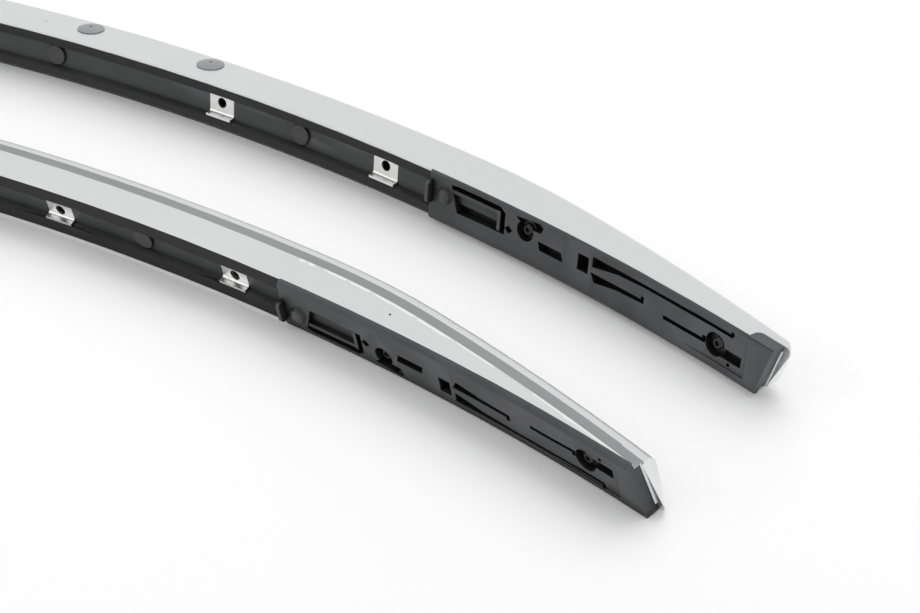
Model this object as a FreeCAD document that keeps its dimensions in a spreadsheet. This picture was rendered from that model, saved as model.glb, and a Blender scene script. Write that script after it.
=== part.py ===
# Pair of car roof side rails lying on their sides, the far rail the mirror image of the near one.
# Each rail is a bent aluminium section with a black channel liner below, and a moulded foot and a cap at each end.
# In a section, depth runs from the mounting face to the crown, and height runs from the plain side to the grooved side.
import FreeCAD, Part
import os
import re
import Sketcher
from FreeCAD import Vector

# Driving dimensions in millimetres and degrees. Places along the rail are measured from its middle.
values = {
    "arch_radius": 1985, "section_roll": 9.5,
    "bend_start": 411, "bend_length": 90, "bend_turn": 5.44, "cap_seam": 688, "cap_reach": 48, "seam_gap": 0.2,
    "wall": 2, "leg_wall": 2, "plain_face": 0.8, "seat_gap": 0.02, "leg_start": 1, "skirt_start": 4.7,
    "crown_depth": 47.5, "crown_bulge": 0.6, "plain_shoulder": 7, "crown_end": 29, "groove_shoulder": 37.3,
    "groove_top": 38, "crease_depth": 28.5, "crease_width": 1.1, "crease_height": 41.2, "skirt_height": 40.6,
    "web_start": 10.2, "web_thickness": 2,
    "fit_gap": 0.2, "liner_edge": 3, "lip_end": 10.9, "lip_depth": 2.5, "channel_depth": 8, "liner_floor": 2,
    "channel_low": 11.8, "channel_high": 30.4, "rim_start": 32, "rim_end": 36.5, "rim_depth": 2.3,
    "window_length": 25, "window_inner": 171.5, "window_outer": 339.5,
    "bracket_sheet": 2, "bracket_gap": 0.3, "bracket_bend": 2.5, "bolt_height": 19, "bolt_radius": 4.3,
    "web_hole_radius": 5.5,
    "pad_place": 253, "pad_height": 21.1, "pad_radius": 8.7, "pad_thickness": 2, "pad_stem_radius": 5,
    "pad_stem_length": 1.9, "stem_gap": 0.1,
    "plug_first": 19.5, "plug_pitch": 123, "plug_depth": 29, "plug_radius": 11.3, "plug_dome": 2.4,
    "plug_stem_radius": 7, "plug_stem_length": 5, "plug_eye_radius": 1,
    "pin_hole_place": 484, "pin_hole_depth": 16, "plain_pin_depth": 22, "pin_hole_radius": 0.9,
    "foot_start": 391, "foot_tip": 726, "foot_slant": 16, "foot_edge": 1, "foot_lip": 1.5, "foot_inner": 4.2,
    "foot_top": 10, "foot_outer": 36.2, "flank_depth": 5, "flank_low": 39, "flank_high": 41.6, "flank_chamfer": 3,
    "ear_height": 11, "ear_low": 0.5, "ear_length": 27, "ear_round": 5,
    "lug_thickness": 3, "lug_rise": 6.5, "lug_round": 3, "lug_low": 8, "lug_high": 26, "boss_place": 406.5,
    "boss_height": 17, "boss_radius": 6.5, "boss_rise": 4.4, "slot_low": 7.6, "panel_depth": 0.6,
    "screw_one_place": 486, "screw_one_height": 15, "screw_one_hole": 8, "screw_two_place": 671,
    "screw_two_height": 22, "screw_two_hole": 8.9, "screw_seat": 6.5, "screw_radius": 2.5, "screw_head_radius": 4.6,
    "screw_head": 2.6, "screw_socket_size": 2.2, "screw_socket_depth": 1.6, "washer_radius": 7, "washer_thickness": 1.2, "nut_side": 16, "nut_thickness": 3, "nut_gap": 0.1,
    "slot_width": 2.6, "slot_depth": 8, "room_reach": 60, "room_depth": 60, "room_side": 12, "pair_shift": 39.8, "pair_apart": 182.8, "pair_yaw": -3.36,
}

doc = FreeCAD.newDocument("roof_side_rails")
sizes = doc.addObject("Spreadsheet::Sheet", "sizes")
for row, (alias, value) in enumerate(values.items(), start=1):
    sizes.set(f"A{row}", alias)
    sizes.set(f"B{row}", str(value))
    sizes.setAlias(f"B{row}", alias)

# Where the pair stands in its own frame. These cells are filled in once the solids are known.
for row, alias in enumerate(("near_x", "near_y", "near_lift", "far_lift"), start=len(values) + 1):
    sizes.set(f"A{row}", alias)
    sizes.set(f"B{row}", "0")
    sizes.setAlias(f"B{row}", alias)
    values[alias] = 0
doc.recompute()


def sized(text):
    """Return the formula with every size read from the sheet."""
    return re.sub(r"[a-z_]+", lambda word: "sizes." + word.group() if word.group() in values else word.group(), str(text))


def amount(text):
    """Return the formula's present value."""
    return float(sizes.evalExpression(sized(text)))


def turn(place):
    """Angle in degrees that the arch has turned at a distance along the mounting face."""
    return f"(({place}) / arch_radius * 180 / pi)"


near_origin = "placement(vector(near_x; near_y; near_lift); rotation(0; 0; section_roll))"


def step(radius, tilt, angle):
    """Placement that moves on along an arc whose axis leans by the tilt in the section."""
    drop = f"{radius} * (cos({angle}) - 1)"
    return (f" * placement(vector({radius} * sin({angle}); {drop} * cos({tilt}); -{drop} * sin({tilt})); "
            f"rotation(0; 0; -{tilt})) * placement(vector(0; 0; 0); rotation(-{angle}; 0; {tilt}))")


def station(place, depth="0", height="0"):
    """Placement on the near rail at a distance from its middle: X along the rail, Y into its depth, Z up its height."""
    return (near_origin + step("arch_radius", "section_roll", turn(place)) +
            f" * placement(vector(0; {depth}; {height}); rotation(0; 0; 0))")


def place_at(thing, formula):
    thing.setExpression("Placement", sized(formula))


def new_body(name, formula):
    body = doc.addObject("PartDesign::Body", name)
    place_at(body, formula)
    return body


def new_sketch(body, name, role, offset=None):
    sketch = body.newObject("Sketcher::SketchObject", name)
    plane = next(feature for feature in body.Origin.OriginFeatures if feature.Role == role)
    sketch.AttachmentSupport = [(plane, "")]
    sketch.MapMode = "FlatFace"
    if offset:
        sketch.setExpression("AttachmentOffset", sized(offset))
    return sketch


def pin_point(sketch, geometry, point, across, up):
    """Hold one point of a sketch at two formulas."""
    for kind, formula in (("DistanceX", across), ("DistanceY", up)):
        number = sketch.addConstraint(Sketcher.Constraint(kind, -1, 1, geometry, point, amount(formula)))
        sketch.setExpression(f"Constraints[{number}]", sized(formula))


def outline(sketch, corners):
    """Draw a closed outline. A corner with four entries is followed by an arc through its second pair."""
    spots = [Vector(amount(corner[0]), amount(corner[1]), 0) for corner in corners]
    drawn = []
    for index, corner in enumerate(corners):
        start, end = spots[index], spots[(index + 1) % len(spots)]
        if len(corner) == 2:
            drawn.append((sketch.addGeometry(Part.LineSegment(start, end)), 1, 2))
            continue
        middle = Vector(amount(corner[2]), amount(corner[3]), 0)
        arc = Part.Arc(start, middle, end)
        number = sketch.addGeometry(arc)
        ahead = sketch.getPoint(number, 1).distanceToPoint(start) < 1e-4
        drawn.append((number, 1, 2) if ahead else (number, 2, 1))
        mark = sketch.addGeometry(Part.Point(middle), True)
        sketch.addConstraint(Sketcher.Constraint("PointOnObject", mark, 1, number))
        pin_point(sketch, mark, 1, corner[2], corner[3])
    for index, (number, first, last) in enumerate(drawn):
        following, start, _ = drawn[(index + 1) % len(drawn)]
        sketch.addConstraint(Sketcher.Constraint("Coincident", number, last, following, start))
        pin_point(sketch, number, first, corners[index][0], corners[index][1])


def circle(sketch, across, up, radius):
    number = sketch.addGeometry(Part.Circle(Vector(amount(across), amount(up), 0), Vector(0, 0, 1), amount(radius)))
    pin_point(sketch, number, 3, across, up)
    limit = sketch.addConstraint(Sketcher.Constraint("Radius", number, amount(radius)))
    sketch.setExpression(f"Constraints[{limit}]", sized(radius))


def rectangle(low, high, bottom, top):
    return [(low, bottom), (high, bottom), (high, top), (low, top)]


def revolve(body, name, loops, angle, radius="arch_radius", tilt="section_roll"):
    """Sweep a section about an arc's axis, half the angle to each side."""
    sketch = new_sketch(body, name + "_section", "YZ_Plane")
    axis = sketch.addGeometry(Part.LineSegment(Vector(-1, 0, 0), Vector(-1, 1, 0)), True)
    pin_point(sketch, axis, 1, f"-{radius} * cos({tilt})", f"{radius} * sin({tilt})")
    pin_point(sketch, axis, 2, f"-{radius} * cos({tilt}) + 100 * sin({tilt})",
              f"{radius} * sin({tilt}) + 100 * cos({tilt})")
    for corners in loops:
        outline(sketch, corners)
    feature = body.newObject("PartDesign::Revolution", name)
    feature.Profile = sketch
    feature.ReferenceAxis = (sketch, ["Axis0"])
    feature.Midplane = True
    feature.setExpression("Angle", sized(angle))
    return feature


def pad(body, name, sketch, length, midplane=False):
    feature = body.newObject("PartDesign::Pad", name)
    feature.Profile = sketch
    feature.Midplane = midplane
    feature.setExpression("Length", sized(length))
    return feature


def pocket(body, name, sketch, length=None, midplane=False):
    """Cut a sketch into the body, right through where no length is given."""
    feature = body.newObject("PartDesign::Pocket", name)
    feature.Profile = sketch
    if length:
        feature.Midplane = midplane
        feature.setExpression("Length", sized(length))
    else:
        feature.Type = "ThroughAll"
        feature.Midplane = True
    return feature


def drill(name, radius, length, formula):
    tool = doc.addObject("Part::Cylinder", name)
    tool.setExpression("Radius", sized(radius))
    tool.setExpression("Height", sized(length))
    place_at(tool, formula)
    return tool


def cut_away(label, base, *tools):
    """Cut one tool after another. Tools in a list stand clear of each other and are cut together."""
    result = base
    for number, tool in enumerate(tools, start=1):
        if isinstance(tool, list):
            together = doc.addObject("Part::Compound", f"{label}_tools")
            together.Links = tool
            tool = together
        step = doc.addObject("Part::Cut", f"{label}_{number}")
        step.Base = result
        step.Tool = tool
        result = step
    return result


near_nodes = []


def keep(thing, name):
    """Give a finished piece of the near rail its name."""
    thing.Label = "near_" + name
    near_nodes.append(thing)
    return thing


def other_end(thing, name):
    """The same piece at the rail's other end, as its mirror image about the rail's middle."""
    copy = doc.addObject("Part::Mirroring", name)
    copy.Source = thing
    copy.Normal = Vector(1, 0, 0)
    copy.setExpression("Base.x", sized("near_x"))
    return keep(copy, name)


# Aluminium section: the outside runs over the crown from the plain leg to the skirt of the grooved side
crown_middle = "(plain_shoulder + crown_end) / 2"
outside = [
    ("leg_start", "plain_face"),
    ("crown_depth - plain_shoulder", "plain_face",
     "crown_depth - 0.27 * plain_shoulder", "plain_face + 0.27 * plain_shoulder"),
    ("crown_depth", "plain_face + plain_shoulder", "crown_depth + crown_bulge", crown_middle),
    ("crown_depth - crown_bulge", "crown_end", "crown_depth - 3", "crown_end + 5.9"),
    ("groove_top", "groove_shoulder", "(groove_top + crease_depth + crease_width) / 2", "groove_shoulder + 0.8"),
    ("crease_depth + crease_width", "crease_height - 1.6"),
    ("crease_depth", "crease_height", "(crease_depth + skirt_start) / 2", "crease_height + 0.35"),
    ("skirt_start", "skirt_height"),
]
legs = [
    ("skirt_start", "skirt_height - leg_wall"),
    ("web_start", "skirt_height - leg_wall"),
    ("web_start", "plain_face + leg_wall"),
    ("leg_start", "plain_face + leg_wall"),
]
hollow = [
    ("web_start + web_thickness", "plain_face + wall"),
    ("crown_depth - plain_shoulder", "plain_face + wall",
     "crown_depth - 0.27 * plain_shoulder - 0.7 * wall", "plain_face + 0.27 * plain_shoulder + 0.7 * wall"),
    ("crown_depth - wall", "plain_face + plain_shoulder", "crown_depth + crown_bulge - wall", crown_middle),
    ("crown_depth - crown_bulge - wall", "crown_end - 1"),
    ("groove_top", "groove_shoulder - wall"),
    ("crease_depth + crease_width", "crease_height - 1.6 - wall"),
    ("crease_depth - 2", "crease_height - wall"),
    ("web_start + web_thickness", "skirt_height - wall"),
]


def backwards(corners):
    """The same run of corners taken the other way, each arc handed to its other end."""
    turned_round = []
    for index in range(len(corners) - 1, -1, -1):
        middle = corners[index - 1][2:] if index > 0 else ()
        turned_round.append(corners[index][:2] + middle)
    return turned_round


open_section = outside + backwards([("leg_start", "plain_face + wall")] + hollow[1:-1] +
                                   [("skirt_start", "skirt_height - wall")])


# In the bend the rail turns on towards its mounting face while it still follows the arch sideways
bend_across = "sin(section_roll) * bend_length / arch_radius"
bend_down = "(cos(section_roll) * bend_length / arch_radius + bend_turn * pi / 180)"
bend_tilt = f"atan({bend_across} / {bend_down})"
bend_radius = f"(bend_length / sqrt(({bend_across})^2 + {bend_down}^2))"
bend_angle = f"(bend_length / {bend_radius} * 180 / pi)"


def stretch(name, loops, start, length, radius="arch_radius", tilt="section_roll"):
    """One arc of the rail, from a placement on its path."""
    body = new_body(name, start + step(radius, tilt, f"({length}) / 2 / {radius} * 180 / pi"))
    revolve(body, name + "_turn", loops, f"({length}) / {radius} * 180 / pi", radius, tilt)
    return body


# Room that the foot takes inside the rail's end, with the fit gap all round, run on well past the tip
foot_middle = "(foot_start + foot_tip) / 2"
foot_angle = turn("foot_tip - foot_start")
room_middle = "(foot_start - fit_gap + foot_tip + room_reach) / 2"
room_angle = turn("foot_tip + room_reach - foot_start + fit_gap")


foot_section = [
    ("0", "foot_edge + 1"),
    ("foot_lip", "foot_edge"),
    ("foot_lip", "foot_inner"),
    ("foot_top", "foot_inner"),
    ("foot_top", "foot_outer"),
    ("flank_depth", "foot_outer"),
    ("flank_depth", "flank_high"),
    ("flank_depth - flank_chamfer", "flank_high"),
    ("0", "flank_low"),
]
room_section = [
    ("-room_depth", "-room_side"),
    ("foot_lip + fit_gap", "-room_side"),
    ("foot_lip + fit_gap", "foot_outer / 2"),
    ("flank_depth + fit_gap", "foot_outer / 2"),
    ("flank_depth + fit_gap", "flank_high + room_side"),
    ("-room_depth", "flank_high + room_side"),
]
room = new_body("foot_room", station(room_middle))
revolve(room, "foot_room_turn", [room_section], room_angle)
block_room = new_body("block_room", station(room_middle))
revolve(block_room, "block_room_turn",
        [rectangle("-room_depth", "foot_top + fit_gap", "foot_inner - fit_gap", "foot_outer + fit_gap")], room_angle)
doc.recompute()

# The long middle stretch has the web and the legs. The neck, the tighter bend and the end are open over the foot.
neck_start = "foot_start - fit_gap"
middle_stretch = new_body("rail_middle", station("0"))
revolve(middle_stretch, "rail_middle_turn", [outside + legs, hollow], f"2 * {turn(neck_start)}")
neck_stretch = stretch("rail_neck", [open_section], station(neck_start), f"bend_start - ({neck_start})")
bend_stretch = stretch("rail_bend", [open_section], station("bend_start"), "bend_length", bend_radius, bend_tilt)
bend_end = station("bend_start") + step(bend_radius, bend_tilt, bend_angle)
end_stretch = stretch("rail_end", [open_section], bend_end, "cap_seam - bend_start - bend_length")
rail_tip = doc.addObject("Part::MultiFuse", "rail_tip")
rail_tip.Shapes = [neck_stretch, bend_stretch, end_stretch]
trimmed_tip = cut_away("rail_tip_cut", rail_tip, room)


def mirrored(thing, name):
    copy = doc.addObject("Part::Mirroring", name)
    copy.Source = thing
    copy.Normal = Vector(1, 0, 0)
    copy.setExpression("Base.x", sized("near_x"))
    return copy


rail_blank = doc.addObject("Part::MultiFuse", "rail_blank")
rail_blank.Shapes = [middle_stretch, trimmed_tip, mirrored(trimmed_tip, "rail_tip_left")]

rail_holes = []
for side in (-1, 1):
    for place in ("window_inner", "window_outer"):
        seat = station(f"{side} * {place}", "web_start - 1", "bolt_height")
        hole = drill("web_hole", "web_hole_radius", "web_thickness + 2",
                     f"{seat} * placement(vector(0; 0; 0); rotation(0; 0; -90))")
        rail_holes.append(hole)
    rail_holes.append(drill("pin_hole", "pin_hole_radius", "wall + 4",
                            station(f"{side} * pin_hole_place", "pin_hole_depth", "crease_height - wall - 2")))
plug_names = (("plug_left_outer", "plug_first - 2 * plug_pitch"), ("plug_left_inner", "plug_first - plug_pitch"),
              ("plug_right_inner", "plug_first"), ("plug_right_outer", "plug_first + plug_pitch"))
for name, place in plug_names:
    rail_holes.append(drill("plug_hole", "plug_stem_radius + stem_gap", "wall + 4",
                            station(place, "plug_depth", "plain_face - 3")))
rail_holes.append(drill("plain_pin_hole", "pin_hole_radius", "wall + 4",
                        station("plug_first - plug_pitch / 3", "plain_pin_depth", "plain_face - 2")))
keep(cut_away("rail_cut", rail_blank, rail_holes), "rail")

# Black liner that closes the rail's mouth between the feet, with a sunk channel and four windows
liner_section = [
    ("0.4", "liner_edge"),
    ("0", "liner_edge + 1"),
    ("lip_depth", "lip_end"),
    ("channel_depth", "channel_low", "channel_depth + 0.4", "(channel_low + channel_high) / 2"),
    ("channel_depth", "channel_high"),
    ("rim_depth", "rim_start"),
    ("0", "rim_end"),
    ("skirt_start - fit_gap", "skirt_height"),
    ("skirt_start - fit_gap", "skirt_height - leg_wall - fit_gap"),
    ("web_start - fit_gap", "skirt_height - leg_wall - fit_gap"),
    ("web_start - fit_gap", "plain_face + leg_wall + fit_gap"),
    ("0.4", "plain_face + leg_wall + fit_gap"),
]
liner_section = liner_section[1:]
liner = new_body("liner_blank", station("0"))
revolve(liner, "liner_revolve", [liner_section], f"2 * {turn('foot_start - fit_gap')}")
liner_tools = []
for side in (-1, 1):
    for place in ("window_inner", "window_outer"):
        box = doc.addObject("Part::Box", "window")
        box.setExpression("Length", sized("window_length"))
        box.setExpression("Width", sized("web_start"))
        box.setExpression("Height", sized("channel_high + 0.8 - lip_end"))
        corner = f"{station(f'{side} * {place}', 'lip_depth - 0.4', 'lip_end - 0.2')}"
        place_at(box, f"{corner} * placement(vector(-window_length / 2; 0; 0); rotation(0; 0; 0))")
        liner_tools.append(box)
for place in ("-pad_place", "0", "pad_place"):
    seat = station(place, "channel_depth - 1", "pad_height")
    liner_tools.append(drill("pad_hole", "pad_stem_radius + stem_gap", "liner_floor + 3",
                             f"{seat} * placement(vector(0; 0; 0); rotation(0; 0; -90))"))
keep(cut_away("liner_cut", liner, liner_tools), "liner")

# Bent sheet bracket in each window, seated on the section's web
bracket_names = (("bracket_left_outer", "-window_outer"), ("bracket_left_inner", "-window_inner"),
                 ("bracket_right_inner", "window_inner"), ("bracket_right_outer", "window_outer"))
for name, place in bracket_names:
    body = new_body(name, station(place))
    low, high = "(lip_end + bracket_gap)", "(channel_high + 0.6 - bracket_gap)"
    back, front = "web_start", "(web_start - bracket_sheet)"
    revolve(body, name + "_turn", [[
        (back, high), (front, high),
        (front, f"{low} + bracket_bend + bracket_sheet",
         f"{front} - 0.29 * bracket_bend", f"{low} + bracket_sheet + 0.29 * bracket_bend"),
        (f"{front} - bracket_bend", f"{low} + bracket_sheet"),
        ("lip_depth + 0.3", f"{low} + bracket_sheet"),
        ("lip_depth + 0.3", low),
        (f"{front} - bracket_bend", low,
         f"{back} - 0.29 * (bracket_bend + bracket_sheet)", f"{low} + 0.29 * (bracket_bend + bracket_sheet)"),
        (back, f"{low} + bracket_bend + bracket_sheet"),
    ]], turn("window_length - 2 * bracket_gap"))
    hole = new_sketch(body, name + "_hole", "XZ_Plane")
    circle(hole, "0", "bolt_height", "bolt_radius")
    pocket(body, name + "_bore", hole)
    keep(body, name)


def turned(name, formula, corners):
    """Turn a half outline about the body's own Z axis."""
    body = new_body(name, formula)
    sketch = new_sketch(body, name + "_half", "XZ_Plane")
    outline(sketch, corners)
    feature = body.newObject("PartDesign::Revolution", name + "_turn")
    feature.Profile = sketch
    feature.ReferenceAxis = (sketch, ["V_Axis"])
    feature.Angle = 360
    return body


# Round black pads pressed into the channel's floor: head towards the mounting face, stem through the floor
facing = "placement(vector(0; 0; 0); rotation(0; 0; 90))"
for name, place in (("pad_left", "-pad_place"), ("pad_middle", "0"), ("pad_right", "pad_place")):
    seat = station(place, "channel_depth", "pad_height")
    keep(turned(name, f"{seat} * {facing}", [
        ("0", "-pad_stem_length"), ("pad_stem_radius", "-pad_stem_length"), ("pad_stem_radius", "0"),
        ("pad_radius", "0"), ("pad_radius", "pad_thickness - 0.8",
                              "pad_radius - 0.23", "pad_thickness - 0.23"),
        ("pad_radius - 0.8", "pad_thickness"), ("0", "pad_thickness"),
    ]), name)

# Domed grey plugs in the plain side, each with a small eye in its middle
for name, place in plug_names:
    seat = station(place, "plug_depth", "plain_face - seat_gap")
    keep(turned(name, f"{seat} * placement(vector(0; 0; 0); rotation(0; 0; 180))", [
        ("plug_eye_radius", "-plug_stem_length"), ("plug_stem_radius", "-plug_stem_length"),
        ("plug_stem_radius", "0"), ("plug_radius", "0"),
        ("plug_radius", "0.6", "0.62 * plug_radius", "0.82 * plug_dome"),
        ("plug_eye_radius", "plug_dome"),
    ]), name)

# Moulded foot: face plate, block in the rail's mouth, end wall and ear
foot = new_body("foot_right", station(foot_middle))
revolve(foot, "foot_plate", [foot_section], foot_angle)


def slot(name, first, last, low, high, depth, start="-1"):
    """Bar of space or material that follows the foot's face, between two places, heights and depths."""
    body = new_body(name, station(f"(({first}) + ({last})) / 2"))
    revolve(body, name + "_turn", [rectangle(start, depth, low, high)], turn(f"({last}) - ({first})"))
    return body


def punch(name, place, depth, corners=None, hole=None, start="-1"):
    """Straight plug of space or material square to the foot's face, from one depth to another."""
    body = new_body(name, station(place, start))
    sketch = new_sketch(body, name + "_outline", "XZ_Plane")
    if hole:
        circle(sketch, "0", *hole)
    else:
        outline(sketch, corners)
    feature = pad(body, name + "_pad", sketch, f"({depth}) - ({start})")
    feature.Reversed = True
    return body


holes = []
for name, place, height, radius in (("one", "screw_one_place", "screw_one_height", "screw_one_hole"),
                                    ("two", "screw_two_place", "screw_two_height", "screw_two_hole")):
    holes.append(punch("foot_hole_" + name, place, "screw_seat", hole=(height, radius)))
    holes.append(punch("foot_way_" + name, place, "foot_top + 1", hole=(height, "screw_radius + stem_gap"),
                       start="screw_seat - 0.5"))
openings = [
    slot("window_opening", "538", "548.5", "10.5", "23.5", "foot_top + 1"),
    slot("slot_plain_side", "602", "686", "slot_low", "slot_low + slot_width", "slot_depth"),
    slot("slot_plain_hook", "684", "687", "slot_low - 2.5", "slot_low + 1", "slot_depth"),
    punch("slot_plain_wedge", "577", "slot_depth",
          [("-25", "slot_low"), ("26", "slot_low"), ("26", "slot_low + slot_width"), ("0", "11.5"), ("-25", "16")]),
    punch("slot_grooved_wedge", "577", "slot_depth",
          [("-26", "20.5"), ("26", "20"), ("26", "23"), ("0", "24"), ("-22", "27.5")]),
    slot("slot_grooved_hook", "600", "603", "17.5", "21", "slot_depth"),
    slot("slot_second", "622", "662", "22.4", "25.4", "slot_depth"),
    slot("slot_second_hook", "659", "662", "20", "23", "slot_depth"),
    slot("slot_tip", "677", "696", "20.7", "28.7", "slot_depth"),
    punch("peg_hole", "685", "slot_depth / 2", hole=("31.5", "1.5")),
    punch("plate_recess", "489", "slot_depth",
          [("-13", "6.2"), ("11", "3.6"), ("14.5", "6"), ("12", "11"), ("-4", "12")]),
    punch("recess_skewed", "511.5", "slot_depth - 1.5",
          [("-12.5", "17.8"), ("10.5", "17.8"), ("12.5", "24.6"), ("-10.5", "24.6")]),
    punch("recess_small", "470", "slot_depth / 2", [("-4", "20"), ("0", "17"), ("4", "20"), ("0", "23.5")]),
    punch("clip_opening", "438", "slot_depth + 0.6",
          [("-26", "6"), ("-18", "5"), ("23", "5"), ("28", "8.5"), ("28", "26"), ("-19", "27")]),
    slot("tip_panel", "640", "700", "6", "34.5", "panel_depth"),
]
tip_slant = [("0", "-room_side"), ("room_reach", "-room_side"), ("room_reach", "flank_high + 2"),
             ("-foot_slant", "flank_high + 2")]
tip_corner = punch("tip_corner", "foot_tip", "foot_top + 2", tip_slant, start="-room_side")
foot_parts = [
    slot("clip_floor", "410", "459.5", "11.5", "20.5", "foot_top - 1", start="slot_depth / 2"),
    slot("clip_arm", "boss_place + 2.5", "459", "9.4", "12.4", "foot_top - 1.2", start="0.4"),
    slot("clip_end_plate", "458", "461", "9", "25", "foot_top - 0.8", start="0.3"),
    turned("clip_boss", f"{station('boss_place', '0', 'boss_height')} * {facing}", [
        ("0", "-slot_depth / 2"), ("boss_radius", "-slot_depth / 2"), ("boss_radius", "0"),
        ("0.8 * boss_radius", "0.65 * boss_rise"), ("0.4 * boss_radius", "boss_rise"), ("0", "boss_rise"),
    ]),
]
lug = new_body("foot_lug", station("foot_start + 0.5"))
lug_sketch = new_sketch(lug, "foot_lug_outline", "YZ_Plane")
outline(lug_sketch, [
    ("foot_top - 1", "lug_low"),
    ("lug_round - lug_rise", "lug_low", "0.293 * lug_round - lug_rise", "lug_low + 0.293 * lug_round"),
    ("-lug_rise", "lug_low + lug_round"),
    ("-lug_rise", "lug_high - lug_round", "0.293 * lug_round - lug_rise", "lug_high - 0.293 * lug_round"),
    ("lug_round - lug_rise", "lug_high"), ("foot_top - 1", "lug_high"),
])
pad(lug, "foot_lug_pad", lug_sketch, "lug_thickness")
foot_parts.append(lug)


def ear(name, gap, depth, low, high):
    """Plate on the plain side at the tip, rounded towards the crown, or the room for it in the cap."""
    body = new_body(name, station("foot_tip - ear_length", "0", low))
    bottom = f"ear_low - 2 * ({depth})"
    sketch = new_sketch(body, name + "_outline", "XY_Plane")
    near, top, far = f"-({gap})", f"ear_height + {gap}", f"ear_length + {depth}"
    outline(sketch, [
        (near, bottom), (far, bottom), (far, top),
        (f"{near} + ear_round", top, f"{near} + 0.293 * ear_round", f"{top} - 0.293 * ear_round"),
        (near, f"{top} - ear_round"),
    ])
    pad(body, name + "_pad", sketch, f"({high}) - ({low})")
    return body


foot_blank = doc.addObject("Part::MultiFuse", "foot_blank")
foot_blank.Shapes = [cut_away("foot_open", foot, holes, openings), *foot_parts,
                     ear("foot_ear", "0", "0", "plain_face", "foot_inner + 1")]
foot_form = cut_away("foot_form", foot_blank, [tip_corner])
keep(foot_form, "foot_right")

# Silver end cap: the rail's outline carried on to the tip and cut to the tip's side and plan shapes
cap_start = bend_end + step("arch_radius", "section_roll", turn("cap_seam - bend_start - bend_length"))
cap_section = outside[:-1] + [("skirt_start", "skirt_height"), ("leg_start", "skirt_height - 2")]
cap_blank = stretch("cap_blank", [cap_section], cap_start, "cap_reach")
side_shape = new_body("cap_side_shape", station("cap_seam", "0", "-20"))
side_sketch = new_sketch(side_shape, "cap_side_outline", "XY_Plane")
outline(side_sketch, [
    ("seam_gap", "-10"), ("cap_reach - 6", "-10"), ("cap_reach - 6", "9"),
    ("cap_reach - 9", "12", "0.56 * cap_reach", "21.4"),
    ("0.25 * cap_reach", "27"), ("seam_gap", "60"),
])
pad(side_shape, "cap_side_pad", side_sketch, "90")
plan_shape = new_body("cap_plan_shape", station("cap_seam"))
plan_sketch = new_sketch(plan_shape, "cap_plan_outline", "XZ_Plane", "placement(vector(0; 0; 20); rotation(0; 0; 0))")
outline(plan_sketch, [
    ("0", "-10"), ("foot_tip + 2 - cap_seam - 4", "-10"),
    ("foot_tip + 2 - cap_seam - 4", "plain_face", "foot_tip + 2 - cap_seam - 1", "plain_face + 1.5"),
    ("foot_tip + 2 - cap_seam", "plain_face + 5"),
    ("foot_tip - foot_slant + 4 - cap_seam", "flank_high - 7", "foot_tip - foot_slant + 1 - cap_seam", "flank_high - 2"),
    ("foot_tip - foot_slant - 6 - cap_seam", "flank_high + 2"),
    ("0", "flank_high + 2"),
])
cut = pad(plan_shape, "cap_plan_pad", plan_sketch, "90")
cut.Reversed = True
cap_form = doc.addObject("Part::MultiCommon", "cap_form")
cap_form.Shapes = [cap_blank, side_shape, plan_shape]
tip_room = punch("tip_room", "foot_tip", "ear_height + fit_gap", tip_slant, start="-room_side")
ear_room = ear("ear_room", "fit_gap", "room_side", "-room_side", "foot_inner + 1 + fit_gap")
keep(cut_away("cap_cut", cap_form, room, block_room, tip_room, ear_room), "cap_right")

# Screws, washers and square nuts that hold each foot
def group(name, parts):
    joined = doc.addObject("Part::Compound", name)
    joined.Links = parts
    return keep(joined, name)


screws, washers, nuts = [], [], []
for side in (-1, 1):
    for place, height in (("screw_one_place", "screw_one_height"), ("screw_two_place", "screw_two_height")):
        seat = f"{station(f'{side} * {place}', 'screw_seat', height)} * {facing}"
        screw = turned("foot_screw", seat, [
            ("0", "-foot_top + screw_seat - nut_thickness - 2"),
            ("screw_radius", "-foot_top + screw_seat - nut_thickness - 2"),
            ("screw_radius", "washer_thickness"), ("screw_head_radius", "washer_thickness"),
            ("screw_head_radius", "washer_thickness + 0.6 * screw_head"),
            ("0.75 * screw_head_radius", "washer_thickness + screw_head"),
            ("0", "washer_thickness + screw_head"),
        ])
        socket = new_sketch(screw, "screw_socket", "XY_Plane",
                            "placement(vector(0; 0; washer_thickness + screw_head); rotation(0; 0; 0))")
        outline(socket, [(f"screw_socket_size * cos({60 * corner})", f"screw_socket_size * sin({60 * corner})")
                         for corner in range(6)])
        pocket(screw, "screw_socket_cut", socket, "screw_socket_depth")
        screws.append(screw)
        washers.append(turned("foot_washer", seat, rectangle("screw_radius + stem_gap", "washer_radius", "0",
                                                            "washer_thickness")))
        nut = new_body("foot_nut", f"{station(f'{side} * {place}', 'foot_top', height)}")
        nut_sketch = new_sketch(nut, "foot_nut_section", "XZ_Plane")
        outline(nut_sketch, rectangle("-nut_side / 2", "nut_side / 2", "-nut_side / 2", "nut_side / 2"))
        circle(nut_sketch, "0", "0", "screw_radius + nut_gap")
        thickness = pad(nut, "foot_nut_pad", nut_sketch, "nut_thickness")
        thickness.Reversed = True
        nuts.append(nut)
doc.recompute()
other_end(foot_form, "foot_left")
other_end(near_nodes[[node.Label for node in near_nodes].index("near_cap_right")], "cap_left")
group("foot_screws", screws)
group("foot_washers", washers)
group("foot_nuts", nuts)
doc.recompute()

# The far rail is the near rail's mirror image, laid behind it and turned a little
far_nodes = []
for node in list(near_nodes):
    name = node.Label.replace("near_", "far_")
    copy = doc.addObject("Part::Mirroring", name)
    copy.Source = node
    copy.Normal = Vector(0, 0, 1)
    place_at(copy, "placement(vector(near_x + pair_shift; near_y + pair_apart; far_lift); rotation(pair_yaw; 0; 0))"
             " * placement(vector(-near_x; -near_y; near_lift); rotation(0; 0; 0))")
    copy.Label = name
    far_nodes.append(copy)
doc.recompute()


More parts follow.
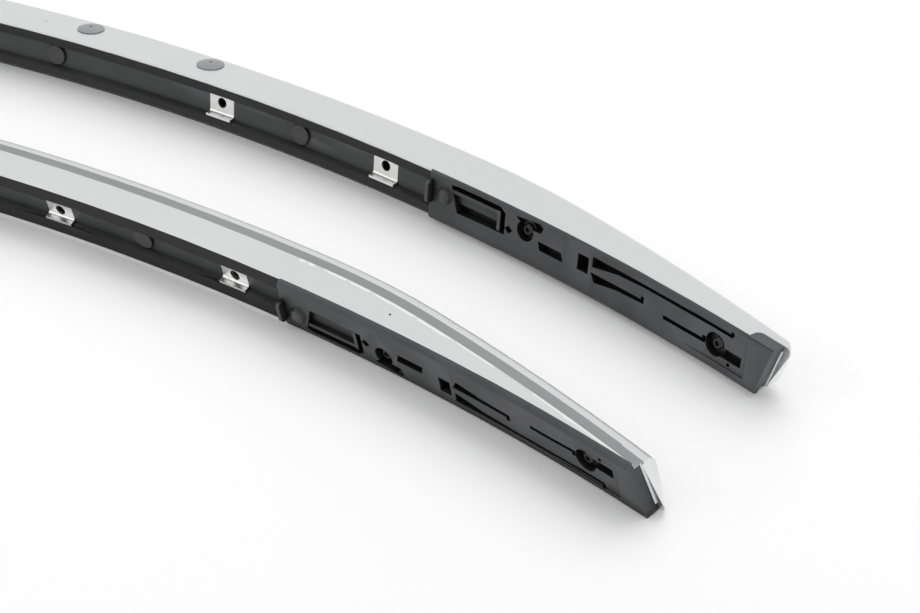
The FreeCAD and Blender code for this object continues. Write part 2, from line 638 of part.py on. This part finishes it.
def set_size(alias, value):
    sizes.set(sizes.getCellFromAlias(alias), f"{value:.4f}")


# Both rails rest on the floor, and the frame's origin is the middle of the pair's footprint
def joint_box(nodes):
    box = FreeCAD.BoundBox()
    for node in nodes:
        for point in node.Shape.tessellate(0.05)[0]:
            box.add(point)
    return box


near_box = joint_box(near_nodes)
set_size("near_lift", -near_box.ZMin)
doc.recompute()
far_box = joint_box(far_nodes)
set_size("far_lift", -far_box.ZMin)
near_box.add(far_box)
set_size("near_x", -near_box.Center.x)
set_size("near_y", -near_box.Center.y)
doc.recompute()

for thing in doc.Objects:
    if "Invalid" in thing.State or "Error" in thing.State:
        raise RuntimeError(f"{thing.Label} failed: {thing.State}")
os.makedirs("parts", exist_ok=True)
triangles = 0
for node in near_nodes + far_nodes:
    shape = node.Shape
    if shape.isNull() or not shape.isValid() or not shape.Solids:
        raise RuntimeError(f"{node.Label} has no valid solid")
    shape.exportStep(f"parts/{node.Label}.step")
    facets = len(shape.tessellate(0.1)[1])
    triangles += facets
    print(node.Label, len(shape.Solids), "solids", round(shape.Volume / 1000, 2), "cm3", facets, "triangles")
print("nodes", len(near_nodes + far_nodes), "triangles", triangles)
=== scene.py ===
import math
import bmesh
import bpy
from mathutils import Matrix, Vector


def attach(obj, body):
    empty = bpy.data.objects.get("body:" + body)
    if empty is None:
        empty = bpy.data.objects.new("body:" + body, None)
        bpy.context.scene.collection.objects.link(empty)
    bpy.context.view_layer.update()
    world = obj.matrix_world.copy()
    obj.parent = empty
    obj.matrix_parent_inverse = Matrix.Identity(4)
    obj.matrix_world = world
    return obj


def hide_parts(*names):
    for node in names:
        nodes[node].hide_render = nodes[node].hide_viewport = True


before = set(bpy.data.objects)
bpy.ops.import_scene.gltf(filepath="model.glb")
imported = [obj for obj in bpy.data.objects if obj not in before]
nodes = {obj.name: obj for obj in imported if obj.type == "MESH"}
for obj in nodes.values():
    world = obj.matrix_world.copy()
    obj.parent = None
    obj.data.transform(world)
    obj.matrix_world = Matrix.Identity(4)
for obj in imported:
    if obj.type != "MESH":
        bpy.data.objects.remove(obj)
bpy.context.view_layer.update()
print("frame loaded:", len(nodes), "nodes")


# Small helpers for node trees

def addNode(tree, kind, **values):
    node = tree.nodes.new(kind)
    for name, value in values.items():
        setattr(node, name, value)
    return node


def feed(tree, socket, value):
    if isinstance(value, tuple):
        socket.default_value = (*value, 1.0)
    elif isinstance(value, (int, float)):
        socket.default_value = value
    else:
        tree.links.new(value, socket)


def mathNode(tree, operation, first, second):
    node = addNode(tree, "ShaderNodeMath", operation=operation)
    feed(tree, node.inputs[0], first)
    feed(tree, node.inputs[1], second)
    return node.outputs[0]


def noiseNode(tree, vector, scale, detail, roughness):
    node = addNode(tree, "ShaderNodeTexNoise")
    node.inputs["Detail"].default_value = detail
    node.inputs["Roughness"].default_value = roughness
    feed(tree, node.inputs["Scale"], scale)
    tree.links.new(vector, node.inputs["Vector"])
    return node.outputs[0]


def rangeOf(tree, value, low, high, fromLow=0.0, fromHigh=1.0):
    node = addNode(tree, "ShaderNodeMapRange")
    for name, number in (("From Min", fromLow), ("From Max", fromHigh), ("To Min", low), ("To Max", high)):
        node.inputs[name].default_value = number
    tree.links.new(value, node.inputs["Value"])
    return node.outputs[0]


def mixColours(tree, factor, first, second):
    node = addNode(tree, "ShaderNodeMix", data_type="RGBA")
    tree.links.new(factor, node.inputs["Factor"])
    feed(tree, node.inputs["A"], first)
    feed(tree, node.inputs["B"], second)
    return node.outputs["Result"]


def bumpNode(tree, height, strength, distance):
    node = addNode(tree, "ShaderNodeBump")
    node.inputs["Strength"].default_value = strength
    node.inputs["Distance"].default_value = distance
    tree.links.new(height, node.inputs["Height"])
    return node.outputs["Normal"]


# Shader node groups that several finishes share

def newGroup(name, inputs, outputs):
    group = bpy.data.node_groups.new(name, "ShaderNodeTree")
    for socketName, value in inputs.items():
        socket = group.interface.new_socket(name=socketName, in_out="INPUT", socket_type="NodeSocketFloat")
        socket.default_value = value
    for socketName in outputs:
        group.interface.new_socket(name=socketName, in_out="OUTPUT", socket_type="NodeSocketFloat")
    return group, group.nodes.new("NodeGroupInput"), group.nodes.new("NodeGroupOutput")


def useGroup(tree, group, **values):
    node = addNode(tree, "ShaderNodeGroup", node_tree=group)
    for name, value in values.items():
        node.inputs[name].default_value = value
    return node


def betweenInputs(group, value, start, end):
    spread = addNode(group, "ShaderNodeMapRange")
    group.links.new(value, spread.inputs["Value"])
    group.links.new(start.outputs["Low"], spread.inputs["From Min"])
    group.links.new(start.outputs["High"], spread.inputs["From Max"])
    group.links.new(spread.outputs[0], end.inputs["Mask"])


# Mottle: slow cloudy change over the surface, from 0 to 1
mottle = dict(scale=8.0, detail=4.0, roughness=0.6, low=0.3, high=0.7)
mottleGroup, start, end = newGroup("mottle", {"Scale": mottle["scale"]}, ["Mask"])
place = addNode(mottleGroup, "ShaderNodeTexCoord")
cloud = noiseNode(mottleGroup, place.outputs["Object"], start.outputs["Scale"],
                  mottle["detail"], mottle["roughness"])
cloudMask = rangeOf(mottleGroup, cloud, 0.0, 1.0, mottle["low"], mottle["high"])
mottleGroup.links.new(cloudMask, end.inputs["Mask"])

# Moulded grain: fine even pebble for the height of a bump, and specks for the roughness
pebbleGrain = dict(scale=1400.0, detail=2.0, roughness=0.55, fineShare=0.5, low=0.35, high=0.65)
grainGroup, start, end = newGroup("mouldedGrain", {"Scale": pebbleGrain["scale"]}, ["Height", "Speck"])
place = addNode(grainGroup, "ShaderNodeTexCoord")
pebble = addNode(grainGroup, "ShaderNodeTexVoronoi", feature="SMOOTH_F1")
grainGroup.links.new(place.outputs["Object"], pebble.inputs["Vector"])
grainGroup.links.new(start.outputs["Scale"], pebble.inputs["Scale"])
fine = noiseNode(grainGroup, place.outputs["Object"], start.outputs["Scale"],
                 pebbleGrain["detail"], pebbleGrain["roughness"])
fineHeight = mathNode(grainGroup, "MULTIPLY", fine, pebbleGrain["fineShare"])
grainHeight = mathNode(grainGroup, "ADD", pebble.outputs["Distance"], fineHeight)
grainGroup.links.new(grainHeight, end.inputs["Height"])
specks = rangeOf(grainGroup, fine, 0.0, 1.0, pebbleGrain["low"], pebbleGrain["high"])
grainGroup.links.new(specks, end.inputs["Speck"])

# Drawn lines: faint streaks along the rail's length, as a die leaves them
drawnLines = dict(along=3.0, across=700.0, detail=3.0, roughness=0.6, low=0.3, high=0.7)
lineScales = {"Along": drawnLines["along"], "Across": drawnLines["across"]}
drawnGroup, start, end = newGroup("drawnLines", lineScales, ["Height", "Mask"])
place = addNode(drawnGroup, "ShaderNodeTexCoord")
stretch = addNode(drawnGroup, "ShaderNodeCombineXYZ")
for index, name in enumerate(("Along", "Across", "Across")):
    drawnGroup.links.new(start.outputs[name], stretch.inputs[index])
scaled = addNode(drawnGroup, "ShaderNodeVectorMath", operation="MULTIPLY")
drawnGroup.links.new(place.outputs["Object"], scaled.inputs[0])
drawnGroup.links.new(stretch.outputs[0], scaled.inputs[1])
streaks = noiseNode(drawnGroup, scaled.outputs[0], 1.0, drawnLines["detail"], drawnLines["roughness"])
drawnGroup.links.new(streaks, end.inputs["Height"])
streakMask = rangeOf(drawnGroup, streaks, 0.0, 1.0, drawnLines["low"], drawnLines["high"])
drawnGroup.links.new(streakMask, end.inputs["Mask"])

# Rubbed edges: how far a surface bulges out, for the paler edges of the moulded pieces
rubbedEdge = dict(Low=0.52, High=0.6)
edgeGroup, start, end = newGroup("rubbedEdge", rubbedEdge, ["Mask"])
betweenInputs(edgeGroup, addNode(edgeGroup, "ShaderNodeNewGeometry").outputs["Pointiness"], start, end)

# Hollow shade: how closed in a surface is, from 0 in a narrow hollow to 1 in the open. The plastics use it
# for painted shade: their colour goes darker in hollows.
hollow = dict(reach=0.014, rays=8, low=0.3, high=0.8)
hollowGroup, start, end = newGroup("hollowShade", {"Low": hollow["low"], "High": hollow["high"]}, ["Mask"])
closed = addNode(hollowGroup, "ShaderNodeAmbientOcclusion", samples=hollow["rays"])
closed.inputs["Distance"].default_value = hollow["reach"]
betweenInputs(hollowGroup, closed.outputs["AO"], start, end)
print("shader groups made")


# Finishes: each has a darker and a lighter shade, which the mottle mixes

def newMaterial(name):
    material = bpy.data.materials.new(name)
    material.use_nodes = True
    return material, material.node_tree, material.node_tree.nodes["Principled BSDF"]


plasticLook = dict(cloud=18.0, paler=2.2, paintedHollowShade=0.12, smoother=0.06, rougher=0.05, speck=0.03,
                   grainDepth=0.0002)


def plasticFinish(name, dark, light, rough, grain, bump, specular=0.4, edge=0.25,
                  low=hollow["low"], high=hollow["high"]):
    material, tree, shader = newMaterial(name)
    shader.inputs["Specular IOR Level"].default_value = specular
    cloud = useGroup(tree, mottleGroup, Scale=plasticLook["cloud"]).outputs["Mask"]
    pebbles = useGroup(tree, grainGroup, Scale=grain)
    rubbed = mathNode(tree, "MULTIPLY", useGroup(tree, edgeGroup).outputs["Mask"], edge)
    body = mixColours(tree, cloud, dark, light)
    paler = tuple(plasticLook["paler"] * value for value in light)
    # Painted shade: in hollows the colour is mixed towards a far darker copy of the dark tone.
    hollowPaintedShade = tuple(plasticLook["paintedHollowShade"] * value for value in dark)
    opened = useGroup(tree, hollowGroup, Low=low, High=high).outputs["Mask"]
    colour = mixColours(tree, opened, hollowPaintedShade, mixColours(tree, rubbed, body, paler))
    tree.links.new(colour, shader.inputs["Base Color"])
    spread = rangeOf(tree, cloud, rough - plasticLook["smoother"], rough + plasticLook["rougher"])
    specks = rangeOf(tree, pebbles.outputs["Speck"], -plasticLook["speck"], plasticLook["speck"])
    tree.links.new(mathNode(tree, "ADD", spread, specks), shader.inputs["Roughness"])
    normal = bumpNode(tree, pebbles.outputs["Height"], bump, plasticLook["grainDepth"])
    tree.links.new(normal, shader.inputs["Normal"])
    return material


metalLook = dict(cloud=5.0, streakShare=0.25, streakShade=0.93, smoother=0.04, rougher=0.05,
                 lineDepth=0.0001)


def metalFinish(name, dark, light, rough, bump, metallic=1.0,
                along=drawnLines["along"], across=drawnLines["across"]):
    material, tree, shader = newMaterial(name)
    shader.inputs["Metallic"].default_value = metallic
    drawn = useGroup(tree, drawnGroup, Along=along, Across=across)
    lines = drawn.outputs["Mask"]
    cloud = useGroup(tree, mottleGroup, Scale=metalLook["cloud"]).outputs["Mask"]
    body = mixColours(tree, cloud, dark, light)
    streak = mathNode(tree, "MULTIPLY", lines, metalLook["streakShare"])
    streaked = mixColours(tree, streak, body, tuple(metalLook["streakShade"] * value for value in dark))
    tree.links.new(streaked, shader.inputs["Base Color"])
    spread = rangeOf(tree, lines, rough - metalLook["smoother"], rough + metalLook["rougher"])
    tree.links.new(spread, shader.inputs["Roughness"])
    normal = bumpNode(tree, drawn.outputs["Height"], bump, metalLook["lineDepth"])
    tree.links.new(normal, shader.inputs["Normal"])
    return material


metals = {
    "rail": dict(name="satinAluminium", dark=(0.85, 0.855, 0.86), light=(0.90, 0.903, 0.907),
                 rough=0.38, bump=0.05),
    # The groove's floor is coloured darker than the rail: painted shade.
    "groove": dict(name="grooveAluminiumPaintedShade", dark=(0.40, 0.405, 0.41), light=(0.45, 0.453, 0.457),
                   rough=0.46, bump=0.08, across=1100.0),
    # The crease is coloured brighter and less metallic than the rail: a painted highlight.
    "crease": dict(name="paintedCreaseHighlight", dark=(0.88, 0.88, 0.88), light=(0.92, 0.92, 0.92),
                   rough=0.3, bump=0.02, metallic=0.35),
    "cap": dict(name="capSilver", dark=(0.84, 0.845, 0.85), light=(0.89, 0.893, 0.897),
                rough=0.36, bump=0.04, along=30.0, across=300.0),
    "bracket": dict(name="zincSheet", dark=(0.78, 0.78, 0.77), light=(0.84, 0.84, 0.83),
                    rough=0.36, bump=0.05, along=200.0, across=500.0),
    # The screws are coloured near black: painted shade for the dark holes they sit in.
    "screws": dict(name="screwSteelPaintedShade", dark=(0.04, 0.04, 0.04), light=(0.07, 0.07, 0.07),
                   rough=0.35, bump=0.05, along=300.0, across=300.0),
    "washers": dict(name="washerSteel", dark=(0.04, 0.04, 0.04), light=(0.06, 0.06, 0.06),
                    rough=0.42, bump=0.05, along=300.0, across=300.0),
    "nuts": dict(name="nutSteel", dark=(0.45, 0.45, 0.44), light=(0.55, 0.55, 0.54),
                 rough=0.4, bump=0.05, along=300.0, across=300.0),
}
plastics = {
    "liner": dict(name="linerBlack", dark=(0.038, 0.039, 0.040), light=(0.056, 0.057, 0.059),
                  rough=0.42, grain=1300.0, bump=0.2, edge=0.5),
    # The liner's rims are coloured darker than the liner: painted shade.
    "linerRim": dict(name="linerRimPaintedShade", dark=(0.013, 0.013, 0.014), light=(0.020, 0.020, 0.021),
                     rough=0.5, grain=1300.0, bump=0.2, specular=0.25),
    # The foot's hollows take the painted shade more strongly and over more of the surface.
    "foot": dict(name="footBlack", dark=(0.040, 0.041, 0.043), light=(0.068, 0.069, 0.072),
                 rough=0.46, grain=1200.0, bump=0.3, low=0.5, high=0.95),
    "pad": dict(name="rubberBlack", dark=(0.055, 0.055, 0.056), light=(0.075, 0.075, 0.076),
                rough=0.6, grain=900.0, bump=0.2, specular=0.3),
    "plug": dict(name="plugGrey", dark=(0.25, 0.26, 0.27), light=(0.31, 0.32, 0.33),
                 rough=0.42, grain=1500.0, bump=0.1, edge=0.1),
}
finishes = {kind: metalFinish(**look) for kind, look in metals.items()}
finishes.update({kind: plasticFinish(**look) for kind, look in plastics.items()})
print("finishes made:", len(finishes))


# Places in the rail's section: along the rail, into its depth and up its height, in metres and degrees.
# Every piece follows one arch. The aluminium and its caps follow one more bend towards each end.

path = dict(x=-0.0157072, y=-0.0499304, lift=-0.0008716, roll=9.5, radius=1.985,
            bendStart=0.411, bendLength=0.09, bendTurn=5.44, spacing=0.004, count=190)
farPlace = dict(shift=0.0398, apart=0.1828, yaw=-3.36, lift=0.0453388)


def arcStep(radius, tilt, angle):
    drop = radius * (math.cos(angle) - 1)
    moved = Matrix.Translation((radius * math.sin(angle), drop * math.cos(tilt), -drop * math.sin(tilt)))
    tilted = Matrix.Rotation(tilt, 4, "X")
    return moved @ Matrix.Rotation(-tilt, 4, "X") @ Matrix.Rotation(-angle, 4, "Z") @ tilted


def stationFrame(along, bent):
    roll = math.radians(path["roll"])
    start = Matrix.Translation((path["x"], path["y"], path["lift"])) @ Matrix.Rotation(roll, 4, "X")
    if not bent or along < path["bendStart"]:
        return start @ arcStep(path["radius"], roll, along / path["radius"])
    across = math.sin(roll) * path["bendLength"] / path["radius"]
    down = math.cos(roll) * path["bendLength"] / path["radius"] + math.radians(path["bendTurn"])
    bendRadius = path["bendLength"] / math.hypot(across, down)
    inBend = min(along - path["bendStart"], path["bendLength"])
    rest = along - path["bendStart"] - inBend
    return (start @ arcStep(path["radius"], roll, path["bendStart"] / path["radius"])
            @ arcStep(bendRadius, math.atan(across / down), inBend / bendRadius)
            @ arcStep(path["radius"], roll, rest / path["radius"]))


frames = {bent: [stationFrame(index * path["spacing"], bent).inverted() for index in range(path["count"])]
          for bent in (False, True)}
farSpot = Vector((path["x"] + farPlace["shift"], path["y"] + farPlace["apart"], farPlace["lift"]))
farFrame = (Matrix.Translation(farSpot)
            @ Matrix.Rotation(math.radians(farPlace["yaw"]), 4, "Z")
            @ Matrix.Translation((-path["x"], -path["y"], path["lift"]))
            @ Matrix.Scale(-1.0, 4, (0.0, 0.0, 1.0)))
nearFrame = farFrame.inverted()


def sectionPlace(point, far, bent):
    spot = nearFrame @ point if far else point.copy()
    spot.x = path["x"] + abs(spot.x - path["x"])
    low, high = 0, path["count"] - 1
    while high - low > 1:
        middle = (low + high) // 2
        if (frames[bent][middle] @ spot).x > 0:
            low = middle
        else:
            high = middle
    local = frames[bent][low] @ spot
    return low * path["spacing"] + local.x, local.y, local.z


def sectionVector(point, far, depth, height):
    spot = nearFrame @ point if far else point
    turn = Matrix.Rotation(-math.asin((spot.x - path["x"]) / path["radius"]), 3, "Z")
    vector = turn @ Matrix.Rotation(math.radians(path["roll"]), 3, "X") @ Vector((0.0, depth, height))
    return farFrame.to_3x3() @ vector if far else vector


# The foot's shallow panel starts without a step
panel = dict(place=0.64, depth=0.0006, reach=0.0007, slack=0.00012)


def closePanelStart(shape, far):
    for vert in shape.verts:
        along, depth = sectionPlace(vert.co, far, False)[:2]
        atStart = abs(along - panel["place"]) < panel["reach"]
        if atStart and abs(depth - panel["depth"]) < panel["slack"]:
            vert.co -= sectionVector(vert.co, far, panel["depth"], 0.0)
    bmesh.ops.remove_doubles(shape, verts=shape.verts, dist=panel["slack"] / 2)


# The far brackets' flange stands on the low side: all heights are turned about the sheet's middle,
# the hole's rim about its own centre, and then the flat plate round the hole is filled in again.
flange = dict(places=(0.1715, 0.3395), hole=0.019, middle=0.0211, rim=0.0043, slip=0.00012, slack=0.0007,
              flat=0.999, flatAngle=1.0)


def turnFlangeDown(shape, far):
    centre = sum((vert.co for vert in shape.verts), Vector()) / len(shape.verts)
    hole = min(flange["places"], key=lambda place: abs(place - sectionPlace(centre, far, False)[0]))
    inward = sectionVector(centre, far, 1.0, 0.0)
    moves, rimVerts = [], set()
    for vert in shape.verts:
        along, _, height = sectionPlace(vert.co, far, False)
        onRim = abs(math.hypot(along - hole, height - flange["hole"]) - flange["rim"]) < flange["slip"]
        if onRim:
            rimVerts.add(vert)
        turned = 2 * (flange["hole"] if onRim else flange["middle"]) - height
        moves.append(sectionVector(vert.co, far, 0.0, turned - height))
    levels = [vert.co.dot(inward) for vert in rimVerts]
    front, back = min(levels), max(levels)

    def onPlate(face):
        level = face.calc_center_median().dot(inward)
        away = min(abs(level - front), abs(level - back))
        return abs(face.normal.dot(inward)) > flange["flat"] and away < flange["slack"]

    def meetsRim(face):
        return len({vert in rimVerts for vert in face.verts}) == 2

    plate = [face for face in shape.faces if onPlate(face) or meetsRim(face)]
    for vert, move in zip(shape.verts, moves):
        vert.co += move
    bmesh.ops.delete(shape, geom=plate, context="FACES_ONLY")
    loose = [edge for edge in shape.edges if not edge.link_faces]
    bmesh.ops.delete(shape, geom=loose, context="EDGES")
    openEdges = [edge for edge in shape.edges if len(edge.link_faces) == 1]
    openLevels = [edge.verts[0].co.dot(inward) for edge in openEdges]
    split = (front + back) / 2
    for upper in (True, False):
        ring = [edge for edge, level in zip(openEdges, openLevels) if (level > split) == upper]
        bmesh.ops.triangle_fill(shape, edges=ring, use_beauty=True, use_dissolve=False)
    bmesh.ops.recalc_face_normals(shape, faces=shape.faces)
    bmesh.ops.dissolve_limit(shape, angle_limit=math.radians(flange["flatAngle"]), verts=shape.verts,
                             edges=shape.edges)
    print("open edges after the flange is turned:", sum(len(edge.link_faces) != 2 for edge in shape.edges))


# Strips with a finish of their own: the groove's floor, coloured darker as painted shade; its crease,
# coloured brighter as a painted highlight; and the liner's rims, coloured darker as painted shade

strips = {"rail": ("groove", "crease"), "cap": ("groove", "crease"), "liner": ("linerRim",)}
band = dict(crease=0.0272, low=0.0296, high=0.0373, height=0.0362, creaseHeight=0.0395, ridge=0.0280,
            ridgeHeight=0.0405, skirt=0.0275, cuts=2, capPlace=0.705, onCut=1e-6)
linerRim = dict(depth=0.0034)


# Which finish of the piece's own list a face takes: 0 is the piece's main one. On the rail and caps, 1 is
# the groove floor's painted shade and 2 the crease's painted highlight; on the liner, 1 is the rim's
# painted shade.
def stripOf(face, kind, far):
    depth, height = sectionPlace(face.calc_center_median(), far, kind != "liner")[1:]
    if kind == "liner":
        return 1 if depth < linerRim["depth"] else 0
    if band["crease"] < depth < band["low"] and height > band["creaseHeight"]:
        return 2
    return 1 if band["low"] < depth < band["high"] and height > band["height"] else 0


# The facets from the skirt to the ridge are wide, so they are cut for the crease and its painted highlight
# to stay narrow
def cutCrease(shape, far):
    places = {vert: sectionPlace(vert.co, far, True) for vert in shape.verts}

    def onRidge(vert):
        depth, height = places[vert][1:]
        return band["ridge"] < depth < band["low"] and height > band["ridgeHeight"]

    edges = [edge for edge in shape.edges if onRidge(edge.verts[0]) != onRidge(edge.verts[1])
             and all(places[vert][2] > band["ridgeHeight"] for vert in edge.verts)
             and min(places[vert][1] for vert in edge.verts) < band["skirt"]]
    bmesh.ops.subdivide_edges(shape, edges=edges, cuts=band["cuts"])


# The caps' facets are large and uneven, so they are cut along both edges of the band
def cutBand(shape, far, side):
    mirror = Matrix.Translation((path["x"], 0.0, 0.0)) @ Matrix.Scale(side, 4, (1.0, 0.0, 0.0))
    station = mirror @ Matrix.Translation((-path["x"], 0.0, 0.0)) @ stationFrame(band["capPlace"], True)
    if far:
        station = farFrame @ station
    across = station.to_3x3() @ Vector((0.0, 1.0, 0.0))
    for depth in (band["crease"], band["high"]):
        point = station @ Vector((0.0, depth, 0.0))
        geom = list(shape.verts) + list(shape.edges) + list(shape.faces)
        bmesh.ops.bisect_plane(shape, geom=geom, dist=band["onCut"], plane_co=point, plane_no=across)


# Dressed pieces: a merged copy of each CAD node with its edges eased.
# Where a painted highlight finish is given, the eased edges take that finish of the piece's own list: on
# the rail, the crease's painted highlight.

dress = {
    "rail": dict(edge=0.0006, segments=2, slot="rail_aluminium", paintedHighlight=2),
    "liner": dict(edge=0.0003, segments=2, slot="liner_plastic"),
    "bracket": dict(edge=0.0003, segments=2, slot="bracket_steel"),
    "pad": dict(edge=0.0002, segments=2, slot="pad_rubber"),
    "plug": dict(edge=0.0002, segments=2, slot="plug_grey"),
    "foot": dict(edge=0.00045, segments=2, slot="foot_plastic"),
    "cap": dict(edge=0.0012, segments=4, slot="cap_silver"),
    "screws": dict(edge=0.0002, segments=2, slot="screw_steel"),
    "washers": dict(edge=0.00015, segments=2, slot="washer_steel"),
    "nuts": dict(edge=0.0003, segments=2, slot="nut_steel"),
}
easing = dict(merge=2e-6, flat=0.4, sharp=28.0)  # merge in metres, flat and sharp in degrees


def kindOf(name):
    words = name.split("_")
    return words[2] if words[1] == "foot" and words[2] in dress else words[1]


def easeEdges(piece, settings):
    bevel = piece.modifiers.new("easedEdges", "BEVEL")
    bevel.width = settings["edge"]
    bevel.segments = settings["segments"]
    bevel.limit_method = "ANGLE"
    bevel.angle_limit = math.radians(easing["sharp"])
    bevel.harden_normals = True
    # On the rail, the eased edges take the crease's painted highlight.
    bevel.material = settings.get("paintedHighlight", -1)
    bevel.use_clamp_overlap = True


def dressPiece(name, node):
    far = name.startswith("far_")
    kind = kindOf(name)
    shape = bmesh.new()
    shape.from_mesh(node.data)
    bmesh.ops.remove_doubles(shape, verts=shape.verts, dist=easing["merge"])
    if kind == "rail":
        cutCrease(shape, far)
    if kind == "cap":
        cutBand(shape, far, -1.0 if "left" in name else 1.0)
    for face in shape.faces:
        face.material_index = stripOf(face, kind, far) if kind in strips else 0
    bmesh.ops.dissolve_limit(shape, angle_limit=math.radians(easing["flat"]), verts=shape.verts,
                             edges=shape.edges, delimit={"MATERIAL"})
    if kind == "foot":
        closePanelStart(shape, far)
    if kind == "bracket" and far:
        turnFlangeDown(shape, far)
    for face in shape.faces:
        face.smooth = True
    for edge in shape.edges:
        edge.smooth = len(edge.link_faces) == 2 and edge.calc_face_angle() < math.radians(easing["sharp"])
    mesh = bpy.data.meshes.new(name + "_dressed")
    shape.to_mesh(mesh)
    shape.free()
    for finish in (kind, *strips.get(kind, ())):
        mesh.materials.append(finishes[finish])
    piece = bpy.data.objects.new(name + "_dressed", mesh)
    bpy.context.scene.collection.objects.link(piece)
    easeEdges(piece, dress[kind])
    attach(piece, "root")
    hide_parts(name)


for name, node in nodes.items():
    dressPiece(name, node)
print("pieces dressed:", len(nodes))


# Floor, light and camera

floorLook = dict(size=14.0, colour=(0.95, 0.95, 0.95), rough=0.9)
room = dict(colour=(1.0, 1.0, 1.0), strength=0.78)
lamps = {
    "farWindow": dict(place=(0.2, 1.7, 2.2), size=2.4, power=33.0, glossy=False),
    "side": dict(place=(-1.8, -1.6, 1.6), size=1.6, power=8.0, glossy=True),
}
view = dict(place=(1.1409, -1.2433, 1.0174), heading=28.48, tilt=36.20, lens=93.7, sensor=36.0, roll=-3.25)


def plainStage():
    bpy.ops.mesh.primitive_plane_add(size=floorLook["size"], location=(0.0, 0.0, 0.0))
    floor = bpy.context.object
    floor.name = "paleFloor"
    paper, tree, shader = newMaterial("palePaper")
    feed(tree, shader.inputs["Base Color"], floorLook["colour"])
    feed(tree, shader.inputs["Roughness"], floorLook["rough"])
    floor.data.materials.append(paper)


plainStage()

world = bpy.data.worlds.new("softRoom")
bpy.context.scene.world = world
world.use_nodes = True
background = world.node_tree.nodes["Background"]
feed(world.node_tree, background.inputs["Color"], room["colour"])
feed(world.node_tree, background.inputs["Strength"], room["strength"])

for name, lamp in lamps.items():
    data = bpy.data.lights.new(name, "AREA")
    data.energy = lamp["power"]
    data.size = lamp["size"]
    light = bpy.data.objects.new(name, data)
    light.location = lamp["place"]
    light.visible_glossy = lamp["glossy"]
    light.rotation_euler = (-light.location).to_track_quat("-Z", "Y").to_euler()
    bpy.context.scene.collection.objects.link(light)

camera = bpy.data.objects.new("camera", bpy.data.cameras.new("camera"))
camera.data.lens = view["lens"]
camera.data.sensor_width = view["sensor"]
heading, tilt = math.radians(view["heading"]), math.radians(view["tilt"])
sight = Vector((-math.sin(heading) * math.cos(tilt), math.cos(heading) * math.cos(tilt), -math.sin(tilt)))
aim = sight.to_track_quat("-Z", "Y").to_matrix().to_4x4()
rolled = Matrix.Rotation(math.radians(view["roll"]), 4, "Z")
camera.matrix_world = Matrix.Translation(view["place"]) @ aim @ rolled
bpy.context.scene.collection.objects.link(camera)
bpy.context.scene.camera = camera
bpy.context.scene.view_settings.view_transform = "Standard"
print("stage, light and camera set")
